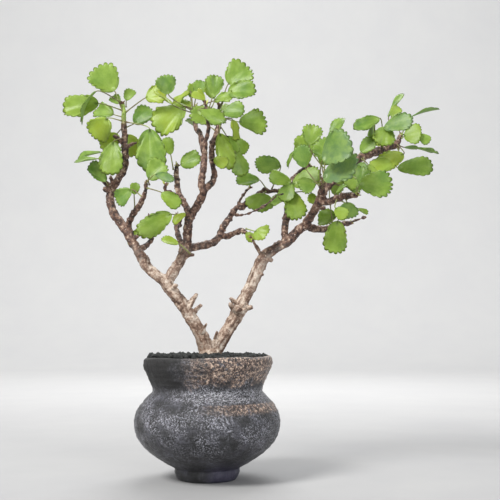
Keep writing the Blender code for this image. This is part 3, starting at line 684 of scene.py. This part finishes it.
def blade_skin(base, along, up, length, width, fold, droop, draw):
    """Points, faces and stored values of one blade. Spokes run from the stalk to the edge; ring k of
    each side lies at share k / ARCS of the spoke. Height: fold |x|, less droop length (y/length)^2,
    plus a wave that grows as the cube of the share. Thickness falls to nothing at the edge."""
    teeth = 2 * int(np.clip(round(width / TOOTH_PITCH + draw.uniform(-0.6, 0.6)), 3, 5)) + 1
    smooth, toothed, vein = blade_edge(width, length, teeth, draw)
    share = (np.arange(1, ARCS + 1) / ARCS)[:, None, None] ** 0.8
    flat = share * (smooth + (toothed - smooth) * share**4)
    x, y = flat[..., 0], flat[..., 1]
    share = share[..., 0]
    turn = np.linspace(0, 2 * np.pi, len(smooth))
    wave = np.sin(draw.integers(2, 5) * turn + draw.uniform(0, 6.28)) * draw.uniform(0.025, 0.07)
    soft = 0.15 * width
    height = fold * (np.sqrt(x**2 + soft**2) - soft) - droop * length * (y / length) ** 2
    height += wave * length * share**3 - 0.0035 * vein * width * np.sin(np.pi * share)
    height += draw.uniform(-0.12, 0.12) * x * y / length
    thick = LEAF_THICKNESS / 2 * np.sqrt(np.clip(1 - share**5, 0, 1))
    thick = thick * (0.75 + 0.25 * np.clip(width / 12, 0.4, 1.4))
    side = np.cross(along, up)
    middle = base + x[..., None] * side + y[..., None] * along + height[..., None] * up
    top = middle + thick[..., None] * up
    under = middle[:-1] - thick[:-1, :, None] * up
    rows, spokes = top.shape[:2]
    i, j = np.meshgrid(np.arange(rows - 1) * spokes, np.arange(spokes - 1), indexing="ij")
    quads = np.stack([i + j, i + j + 1, i + spokes + j + 1, i + spokes + j], -1).reshape(-1, 4)
    low = rows * spokes
    lower = quads[:, ::-1] + low
    edge_row = quads >= (rows - 1) * spokes
    lower = np.where(edge_row[:, ::-1], quads[:, ::-1], lower)
    pole = low + (rows - 1) * spokes
    j = np.arange(spokes - 1)
    fans = [np.stack([j + 1, j, np.full(spokes - 1, pole)], -1),
            np.stack([low + j, low + j + 1, np.full(spokes - 1, pole)], -1)]
    k = np.arange(rows - 2) * spokes
    seams = []
    for at in (0, spokes - 1):
        upper, below = k + at, low + k + at
        strip = np.stack([upper, upper + spokes, below + spokes, below], -1)
        seams += (strip if at == 0 else strip[:, ::-1]).tolist()
        corner = [(rows - 2) * spokes + at, (rows - 1) * spokes + at, low + (rows - 2) * spokes + at]
        seams.append(corner if at == 0 else corner[::-1])
        root = [at, low + at, pole]
        seams.append(root if at == 0 else root[::-1])
    points = np.vstack([top.reshape(-1, 3), under.reshape(-1, 3), base[None]])
    faces = quads.tolist() + lower.tolist() + fans[0].tolist() + fans[1].tolist() + seams
    veins = vein * (1 - share**3)
    midrib = np.exp(-(x / (0.035 * width + 0.12)) ** 2) * np.clip(1.1 - share, 0, 1)
    veins = np.maximum(veins * 0.7, midrib)
    stored = {"vein": np.concatenate([veins.ravel(), veins[:-1].ravel(), [1]]),
              "edge": np.concatenate([np.repeat(share, spokes), np.repeat(share[:-1], spokes), [0]]),
              "under": np.concatenate([np.zeros(low), np.ones(pole - low + 1)])}
    return points, faces, stored


def stalk_skin(knots, side):
    """A round stalk on the one cubic through four points, thicker where it leaves the bark."""
    t = np.linspace(0, 1, 13)
    weights = np.stack([np.prod([(t - b) / (a - b) for b in STALK_SHARES if b != a], axis=0)
                        for a in STALK_SHARES])
    line = weights.T @ knots
    way = np.gradient(line, axis=0)
    way /= np.linalg.norm(way, axis=1)[:, None]
    across = np.cross(way, side + 0.01)
    across /= np.linalg.norm(across, axis=1)[:, None]
    other = np.cross(way, across)
    radius = 0.42 + 0.3 * np.exp(-(t / 0.1) ** 2) - 0.08 * t
    turn = angles(7)[None, :, None]
    spoke = np.cos(turn) * across[:, None] + np.sin(turn) * other[:, None]
    return grid_skin(line[:, None] + radius[:, None, None] * spoke)


def leaf_finish():
    """Grey-green to yellow by the leaf's tone, paler below, with soft blotches, fine darker specks,
    pale veins and a browner margin. A third of the light passes through the blade."""
    leaf = Finish("leaf_green")
    tone = leaf.stored("tone")
    upper = leaf.ramp(tone, (0.0, 110, 140, 94), (0.3, 98, 136, 54), (0.65, 136, 162, 54),
                      (1.0, 176, 188, 58))
    lower = leaf.mix(0.4, upper, shade(160, 184, 132))
    colour = leaf.mix(leaf.stored("under"), upper, lower)
    blotch = leaf.fade(leaf.noise(5, 4), 0.35, 0.68)
    colour = leaf.tint(colour, blotch, 0.4, 172, 200, 94)
    specks = leaf.fade(leaf.noise(0.7, 2), 0.55, 0.75)
    colour = leaf.tint(colour, specks, 0.25, 70, 112, 40)
    colour = leaf.tint(colour, leaf.stored("vein"), 0.1, 186, 206, 128)
    margin = leaf.fade(leaf.stored("edge"), 0.955, 1.0)
    colour = leaf.tint(colour, margin, 0.5, 92, 96, 48)
    relief = leaf.bump(leaf.stored("vein"), 0.07)
    relief = leaf.bump(leaf.noise(3.5, 4), 0.25, relief)
    relief = leaf.bump(leaf.noise(0.8, 3), 0.06, relief)
    leaf.set(Base_Color=colour, Roughness=0.4, Normal=relief)
    through = leaf.add("ShaderNodeBsdfTranslucent", {"Color": leaf.mix(0.35, colour, shade(190, 220, 70))})
    both = leaf.add("ShaderNodeMixShader", [0.32, leaf.shader.outputs[0], through.outputs[0]])
    leaf.tree.links.new(both.outputs[0], leaf.tree.nodes["Material Output"].inputs[0])
    return leaf.material


def stalk_finish():
    """Green, browner in patches."""
    stalk = Finish("leaf_stalk")
    colour = stalk.ramp(stalk.noise(6, 3), (0.35, 98, 78, 62), (0.5, 118, 116, 66), (0.65, 136, 150, 78))
    return stalk.set(Base_Color=colour, Roughness=0.5, Normal=stalk.bump(stalk.noise(0.5), 0.05))


LEAF_GREEN, LEAF_STALK = leaf_finish(), stalk_finish()


def unit(vector):
    """The vector at length 1."""
    return vector / np.linalg.norm(vector)


def leaf_from_node(node):
    """Stalk knots, direction, face, length and width of a CAD leaf. Its flat ends are the two sets
    of four triangles in one plane, and the smaller is the stalk's foot. From there, each step along
    the edges adds the next of its nine rings of six corners."""
    points, faces = merged_mesh(node)
    corners = points[faces]
    normals = np.cross(corners[:, 1] - corners[:, 0], corners[:, 2] - corners[:, 0])
    normals /= np.linalg.norm(normals, axis=1)[:, None]
    height = np.einsum("ik,ijk->ij", normals, corners[None, :, 0] - corners[:, None, 0])
    flat = (normals @ normals.T > 0.999) & (np.abs(height) < 0.01)
    near = np.eye(len(points), dtype=bool)
    near[faces[:, [0, 1, 2]], faces[:, [1, 2, 0]]] = True
    near |= near.T
    found = []
    for end in (np.unique(faces[group]) for group in flat if group.sum() == 4):
        inside = np.isin(np.arange(len(points)), end)
        rings = [points[inside]]
        for _ in range(8):
            grown = near @ inside
            rings.append(points[grown & ~inside])
            inside = grown
        if all(len(ring) == 6 for ring in rings):
            found.append(rings)
    rings = min(found, key=lambda rings: np.ptp(rings[0], axis=0).max())
    knots = np.array([ring.mean(0) for ring in rings[:4]])
    knots[0] -= 0.8 * unit(knots[1] - knots[0])
    wide = rings[6]
    spans = np.linalg.norm(wide[:, None] - wide[None], axis=2)
    one, two = np.unravel_index(np.argmax(spans), spans.shape)
    rest = np.delete(wide, [one, two], axis=0).mean(0)
    up = unit((wide[one] + wide[two]) / 2 - rest)
    tip = rings[8].mean(0)
    side = unit(wide[two] - wide[one])
    along = unit(np.cross(up, side))
    along = along if np.dot(tip - knots[3], along) > 0 else -along
    length = np.dot(tip - knots[3], along) / 0.985
    return knots, along, up, length * LEAF_GROWTH, spans.max() / 1.003 * LEAF_GROWTH


def leaf_group(name, leaves):
    """One piece of several leaves, each (knots, along, up, length, width, fold, droop, tone, seed)."""
    skins, slots = [], []
    stored = {"tone": [], "vein": [], "edge": [], "under": []}
    for knots, along, up, length, width, fold, droop, tone, seed in leaves:
        draw = np.random.default_rng(seed)
        blade, blade_faces, values = blade_skin(knots[3], along, up, length, width, fold, droop, draw)
        stalk, stalk_faces = stalk_skin(knots, np.cross(along, up))
        values["tone"] = np.clip(tone + 0.06 * waves(blade, 14, seed), 0, 1)
        for key in stored:
            stored[key].append(np.concatenate([values[key], np.zeros(len(stalk))]))
        skins += [(blade, blade_faces), (stalk, stalk_faces)]
        slots += [0] * len(blade_faces) + [1] * len(stalk_faces)
    piece = make_piece(name, *joined(skins), [LEAF_GREEN, LEAF_STALK])
    piece.data.polygons.foreach_set("material_index", slots)
    for key, values in stored.items():
        layer = piece.data.attributes.new(key, "FLOAT", "POINT")
        layer.data.foreach_set("value", np.concatenate(values).astype(np.float32))
    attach(piece, "root")
    return piece


# How yellow each leaf is, from 0 for grey-green to 1 for yellow, in the order of its twig's nodes.
LEAF_TONES = {
    "left_limb": (0.55, 0.6, 0.45, 0.75, 0.5, 0.3, 0.8, 0.45, 0.55, 0.4, 0.3),
    "left_inner_twig": (0.5, 0.35, 0.6),
    "left_back_twig": (0.8,),
    "burr_twig": (0.6,),
    "middle_left_twig": (0.6, 0.5),
    "crown_left_twig": (0.3, 0.9, 0.7, 0.8, 0.6),
    "crown_right_twig": (0.55, 0.5, 0.45, 0.4, 0.55, 0.7, 0.6, 0.5),
    "low_limb": (0.4, 0.4, 0.55),
    "low_stub": (0.7,),
    "right_inner_twig": (0.6, 0.55, 0.55, 0.6),
    "right_front_twig": (0.1, 0.0),
    "right_low_twig": (0.45, 0.2),
    "right_back_twig": (0.6, 0.5),
    "far_right_limb": (0.35, 0.2, 0.1, 0.4, 0.7, 0.6, 0.3, 0.75, 0.45),
}
for number, (twig, tones) in enumerate(LEAF_TONES.items()):
    names = [f"leaf_{twig}_{k}" for k in range(1, len(tones) + 1)]
    grown = []
    for k, (name, tone) in enumerate(zip(names, tones)):
        fold = 0.25 + 0.12 * np.sin(7 * k + number)
        grown.append((*leaf_from_node(name), fold, LEAF_DROOP, tone, 100 * number + k))
    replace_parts(leaf_group(twig + "_leaves", grown), *names)


# ----------------------------------------
# The smaller leaves: the same fans, half grown or turned edge-on among the others. They grow from
# the nearest bark, each on a stalk of its own.
SMALL_LEAF_FOLD = 0.25
SMALL_LEAF_BREADTH = 1.12
# Each row: the blade's base from the collar, the blade, its width and how yellow it is; then how far
# its tip bends down and the way its upper side faces, where small_leaf has another.
SMALL_LEAVES = {
    "left_limb_small_leaves": [
        ((-58, 7, 161), (-5, 2, 6), 7, 0.45),
        ((-70, -10, 164), (-15, 0, -14), 14, 0.45, 0.45, (-0.68, -0.15, 0.73)),
        ((-60, 14, 143), (-9, 3, -12), 14, 0.8, 0.15),
        ((-54, 17, 143), (5, 2, -14), 13, 0.85),
        ((-71, 2, 124), (-14, -3, -2), 12, 0.4, 0.1, (-0.2, -0.45, 0.85)),
        ((-45, -12, 99), (1, -2, 7), 6, 0.5),
        ((-30, -30, 108), (11, -3, -3), 8, 0.1, 0.2, (0.2, -0.7, 0.6)),
        ((-60, 15, 124), (-7, -2, 10), 9, 0.4, 0.2, (-0.4, -0.9, 0.2)),
    ],
    "middle_small_leaves": [
        ((-18, -9, 69), (-10, -3, 3), 7, 0.75, 0.1, (0, -0.7, 0.6)),
        ((-14, -8, 88), (-7, -4, -6), 6, 0.9, 0.2, (-0.3, -0.8, 0.5)),
        ((24, 2, 77), (4, -3, -5), 6, 0.75, 0.3),
        ((4, -9, 122), (8, -3, -5), 8, 0.75),
    ],
    "crown_small_leaves": [
        ((-8, 2, 165), (4, -2, 9), 9, 0.4),
        ((3, -20, 158), (2, -3, 13), 11, 0.45),
        ((4, -16, 158), (-4, -3, 8), 7, 0.65),
        ((-2, -18, 155), (-3, -1, 9), 4, 0.95, 0.1, (0.6, -0.7, 0.2)),
        ((3, 8, 163), (13, -4, 3), 10, 0.6, 0.1, (0.1, -0.8, 0.6)),
        ((11, 9, 140), (5, -2, -13), 10, 0.5, 0.15),
        ((15, 2, 149), (3, 1, -13), 9, 0.85, 0.1, (0.85, -0.5, 0.1)),
        ((-12, 6, 158), (-8, 2, 6), 8, 0.7, 0.1, (0.2, -0.8, 0.6)),
        ((8, 16, 158), (9, 8, 6), 11, 0.55, 0.2, (0.2, -0.6, 0.8)),
        ((-6, 12, 150), (-6, 12, 4), 12, 0.5, 0.2, (0, 0.3, 1)),
        ((-5, -29, 147), (16, -6, -7), 13, 0.5, 0.2, (0.1, -0.75, 0.65)),
        ((-1, -27, 154), (-8, -2, 4), 6, 0.8, 0.1, (0, -0.8, 0.6)),
    ],
    "right_small_leaves": [
        ((49, 14, 102), (-10, -3, -5), 9, 0.4, 0.1, (0, -0.7, 0.7)),
        ((56, 10, 131), (-9, 0, -7), 8, 0.45, 0.5, (-0.6, -0.25, 0.75)),
        ((63, -6, 131), (3, -2, 13), 12, 0.5),
        ((74, -34, 131), (7, -1, 11), 9, 0.4, 0.1, (-0.7, -0.7, 0.2)),
        ((65, 8, 103), (1, -2, -7), 6, 0.65),
        ((62, 24, 124), (-3, 4, 12), 13, 0.6, 0.15, (0, -0.9, 0.5)),
        ((71, -6, 119), (7, 3, 12), 14, 0.5, 0.15),
        ((74, -10, 110), (10, 2, -8), 12, 0.6, 0.15),
        ((52, 6, 109), (-5, -4, -12), 10, 0.5),
        ((84, -4, 117), (8, -5, -9), 12, 0.6),
        ((80, 6, 124), (6, 5, 9), 12, 0.5, 0.2, (0.1, -0.8, 0.6)),
        ((97, -6, 120), (-5, -4, -12), 9, 0.15, 0.1, (-0.3, -0.9, 0.2)),
        ((100, -3, 119), (3, -2, -10), 8, 0.6),
        ((90, -20, 107), (-6, -3, -5), 8, 0.55, 0.15),
        ((78, -22, 98), (6, -2, 6), 7, 0.35, 0.1, (-0.6, -0.4, 0.7)),
        ((91, -20, 89), (6, -2, -3), 5, 0.6, 0.1, (0, -0.6, 0.8)),
        ((83, 15, 87), (5, -3, 7), 9, 0.55),
        ((78, 20, 108), (5, 9, 7), 12, 0.45, 0.2, (0, 0.2, 1)),
        ((92, -8, 104), (3, -3, 13), 13, 0.35),
        ((60, -12, 116), (-4, -4, 13), 11, 0.3, 0.2, (-0.5, -0.8, 0.2)),
        ((77, -14, 120), (-10, -2, 12), 14, 0.4, 0.15),
        ((76, -36, 87), (6, -3, -6), 8, 0.7),
        ((88, 2, 110), (9, 0, -5), 12, 0.45, 0.15),
        ((66, -4, 108), (-9, -4, -4), 11, 0.45, 0.2),
    ],
    "far_right_small_leaves": [
        ((118, 15, 154), (5, -1, 7), 7, 0.7),
        ((104, -3, 146), (-4, 0, -10), 10, 0.4, 0.35, (-0.85, -0.3, 0.4)),
        ((96, 1, 128), (8, -3, 8), 9, 0.45),
        ((136, 17, 143), (6, -3, -6), 7, 0.5),
        ((124, 7, 128), (-17, -3, -8), 12, 0.85),
        ((112, -4, 143), (-4, -3, -12), 13, 0.6, 0.15),
        ((112, 24, 138), (-4, 12, 5), 12, 0.5, 0.2, (0, 0.2, 1)),
    ],
}


def small_leaf(base, blade, width, tone, droop=0.1, face=(0, -1, 0.3), *, seed):
    """The row as a leaf_group entry. Its stalk starts at the nearest bark behind the blade and
    leaves the bark upwards before it turns into the blade."""
    base, blade, face = (np.array(row, float) for row in (base, blade, face))
    base[2] += COLLAR_Z
    along = unit(blade)
    foot = np.array(BARK_SKIN.find_nearest(Vector(base - 0.6 * blade - (0, 0, 3)))[0])
    up = unit(face - along * np.dot(face, along))
    stalk = base - foot
    out = unit(stalk + (0, 0, 3))
    t = np.array(STALK_SHARES)[:, None]
    lean = 0.5 * np.linalg.norm(stalk) * (t * (1 - t) ** 2 * out - t * t * (1 - t) * along)
    knots = foot + stalk * t * t * (3 - 2 * t) + lean
    knots[0] -= 0.5 * unit(knots[1] - knots[0])
    width *= SMALL_LEAF_BREADTH
    return knots, along, up, np.linalg.norm(blade), width, SMALL_LEAF_FOLD, droop, tone, seed


for number, (name, rows) in enumerate(SMALL_LEAVES.items()):
    first_seed = 5000 + 100 * number
    leaf_group(name, [small_leaf(*row, seed=first_seed + k) for k, row in enumerate(rows)])


# ----------------------------------------
# The buds: at the end of every twig a few pointed scales, red-brown outside and yellow-green where
# the next leaves push through. They grow from the wood round the tip.
TWIG_TIPS = [
    ((-56, 9, 161), (0, 0, 1)), ((-36, -23, 104), (0, -0.3, 1)), ((-39, 20, 89), (-0.3, 0.4, 1)),
    ((-21, 20, 90), (-0.2, 0.3, 1)), ((-21, 11, 121), (0, 0.3, 1)), ((-26, -10, 105), (0, 0, 1)),
    ((-9, 5, 158), (-0.1, 0.4, 1)), ((-1, -27, 152), (0, -0.2, 1)), ((6, 12, 161), (0, 0.4, 1)),
    ((44, 34, 109), (1, 0.4, 0.3)), ((24, 3, 77), (0.8, -0.6, -0.3)), ((26, 33, 111), (0.6, 0.6, 0.8)),
    ((27, -7, 73), (-0.3, -0.8, 0.5)), ((65, 22, 123), (0.8, 0.2, 0.6)), ((69, -30, 104), (0, -0.8, 0.6)),
    ((125, 23, 144), (0.3, 0.3, 1)), ((88, -40, 94), (0.6, -0.8, 0)), ((91, 25, 86), (0.8, 0.5, 0.2)),
]
SCALES = 9  # to one tip


def bud_scales():
    """Spindles on a fan of directions round each tip. The radius at share t is R sin(pi t)^0.7, and
    a spindle is flattened to half across its own side. Every third is young."""
    draw = np.random.default_rng(21)
    skins, young = [], []
    t = np.linspace(0.02, 0.99, 8)[:, None, None]
    turn = angles(6)[None, :, None]
    for tip, way in TWIG_TIPS:
        for k in range(SCALES):
            heading = unit(unit(np.array(way, float)) + draw.normal(0, 0.45, 3))
            across = unit(np.cross(heading, draw.normal(size=3)))
            other = np.cross(heading, across)
            length, radius = draw.uniform(1.8, 4.2), draw.uniform(0.35, 0.7)
            start = np.array(tip) + (0, 0, COLLAR_Z) + draw.normal(0, 0.5, 3) - 0.8 * heading
            around = np.cos(turn) * across + 0.5 * np.sin(turn) * other
            grid = start + length * t * heading + radius * np.sin(np.pi * t) ** 0.7 * around
            skins.append(grid_skin(grid))
            young += [float(k % 3 == 0)] * len(skins[-1][0])
    return *joined(skins), young


def bud_finish():
    """Red-brown scales, and yellow-green ones where they are young."""
    bud = Finish("bud_scale")
    brown = bud.ramp(bud.noise(0.8, 4), (0.35, 70, 44, 36), (0.6, 132, 96, 76))
    green = bud.ramp(bud.noise(1.2, 3), (0.35, 150, 160, 66), (0.65, 196, 200, 112))
    return bud.set(Base_Color=bud.mix(bud.stored("young"), brown, green), Roughness=0.6,
                   Normal=bud.bump(bud.noise(0.4), 0.08))


points, faces, young = bud_scales()
buds = make_piece("twig_buds", points, faces, [bud_finish()])
buds.data.attributes.new("young", "FLOAT", "POINT").data.foreach_set("value", young)
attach(buds, "root")


# ----------------------------------------
# The stage: a pale seamless floor that curves up far behind the plant, and soft studio light from
# the upper left, the right, behind and over the backdrop. The camera stands a little above the
# gravel and looks slightly up. Lights and camera are in metres.
STAGE_REACH, CURVE_START, CURVE_RADIUS = 4000, 1500, 600


def seamless_stage():
    """A strip along Y: flat, then a quarter circle, then upright."""
    arc = np.linspace(0, np.pi / 2, 24)
    y = np.concatenate([[-STAGE_REACH], CURVE_START + CURVE_RADIUS * np.sin(arc),
                        [CURVE_START + CURVE_RADIUS]])
    z = np.concatenate([[0], CURVE_RADIUS - CURVE_RADIUS * np.cos(arc), [STAGE_REACH]])
    x = np.array([-STAGE_REACH, STAGE_REACH])
    grid = np.stack(np.broadcast_arrays(x[None], y[:, None], z[:, None]), -1).reshape(-1, 3)
    k = np.arange(len(y) - 1) * 2
    return grid, np.stack([k, k + 1, k + 3, k + 2], -1).tolist()


paper = Finish("stage_paper")
points, faces = seamless_stage()
mesh = bpy.data.meshes.new("stage")
mesh.from_pydata(points * MM, [], faces)
mesh.polygons.foreach_set("use_smooth", np.full(len(faces), True))
floor_tone = paper.ramp(paper.noise(90), (0.3, 158, 158, 159), (0.7, 164, 164, 164))
wall_tone = paper.ramp(paper.noise(90), (0.3, 238, 238, 238), (0.7, 241, 241, 240))
paper_tone = paper.mix(paper.fade(paper.y, 0.0, 1.6), floor_tone, wall_tone)
mesh.materials.append(paper.set(Base_Color=paper_tone, Roughness=0.9))
stage = bpy.data.objects.new("stage", mesh)
bpy.context.scene.collection.objects.link(stage)


def soft_light(name, place, aim, size, power, colour=(1, 1, 1)):
    """A round area lamp of this size across, turned from its place to its aim."""
    lamp = bpy.data.lights.new(name, "AREA")
    lamp.shape = "DISK"
    lamp.size = size
    lamp.energy = power
    lamp.color = colour
    obj = bpy.data.objects.new(name, lamp)
    obj.location = place
    obj.rotation_euler = (Vector(aim) - Vector(place)).to_track_quat("-Z", "Y").to_euler()
    bpy.context.scene.collection.objects.link(obj)


soft_light("window", (-0.7, -0.7, 1.0), (0, 0, 0.13), 0.5, 20, (1, 0.99, 0.97))
soft_light("fill", (0.6, -1.0, 0.22), (0.04, 0, 0.15), 0.8, 7.5, (0.96, 0.98, 1))
soft_light("crown_light", (0.1, 0.6, 0.9), (0, 0, 0.18), 0.8, 8)
soft_light("backdrop", (0, 0.9, 1.6), (0, 2.1, 0.4), 1.2, 4)
world = bpy.data.worlds.new("studio")
world.use_nodes = True
world.node_tree.nodes["Background"].inputs["Color"].default_value = (0.98, 0.985, 1, 1)
world.node_tree.nodes["Background"].inputs["Strength"].default_value = 0.55
bpy.context.scene.world = world
bpy.context.scene.view_settings.view_transform = "Standard"

lens = bpy.data.cameras.new("camera")
lens.lens = 62.64
lens.sensor_width = 36
lens.clip_start = 0.01
camera = bpy.data.objects.new("camera", lens)
camera.location = (0.026, -0.540, 0.089)
camera.rotation_euler = (np.radians(95.38), 0, 0)
bpy.context.scene.collection.objects.link(camera)
bpy.context.scene.camera = camera
